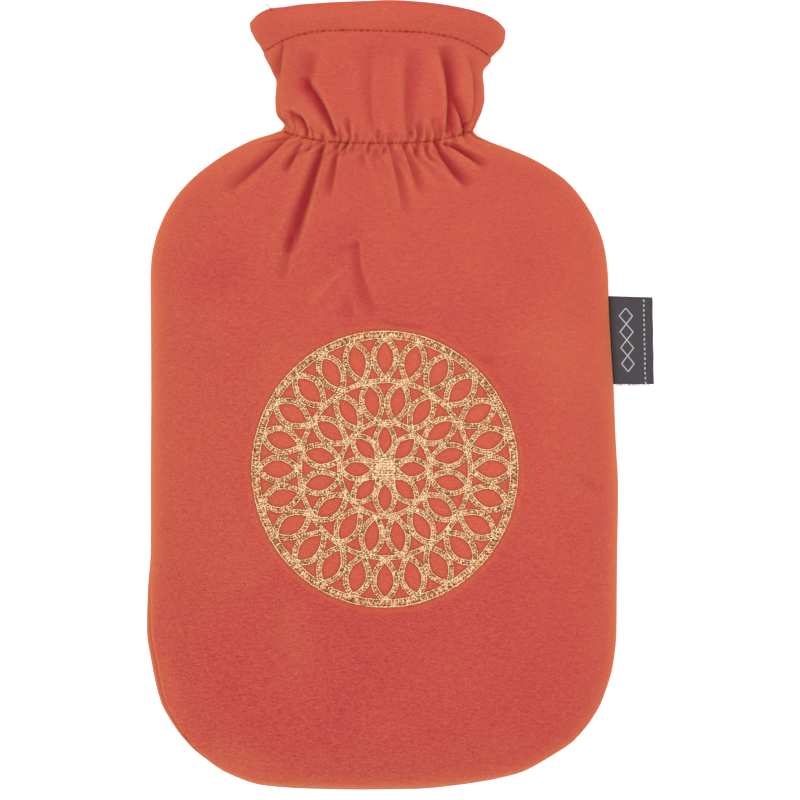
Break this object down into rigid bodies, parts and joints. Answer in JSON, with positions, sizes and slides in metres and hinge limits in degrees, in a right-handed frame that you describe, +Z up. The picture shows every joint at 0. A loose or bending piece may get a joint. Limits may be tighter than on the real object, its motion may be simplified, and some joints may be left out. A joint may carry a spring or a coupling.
{
  "type": "hot water bottle cover",
  "caption": "Fitted plush cover for a hot water bottle, with a gathered neck, a flared open collar and a round embroidered ornament on its front.",
  "frame": {"origin": "on the flat underside of the back panel, below the middle of the cover's body", "axes": "+X to the right as the front is seen, towards the side label; +Y from the bottom seam to the collar; +Z up, out of the front panel"},
  "size_m": [0.2279, 0.3549, 0.0428],
  "materials": {
    "velour": "plush",
    "label_weave": "satin",
    "gold_thread": "metallic",
    "sewing_thread": "matte"
  },
  "bodies": {
    "root": {"cover_front": "velour", "cover_back": "velour", "side_label": "label_weave"}
  },
  "joints": []
}
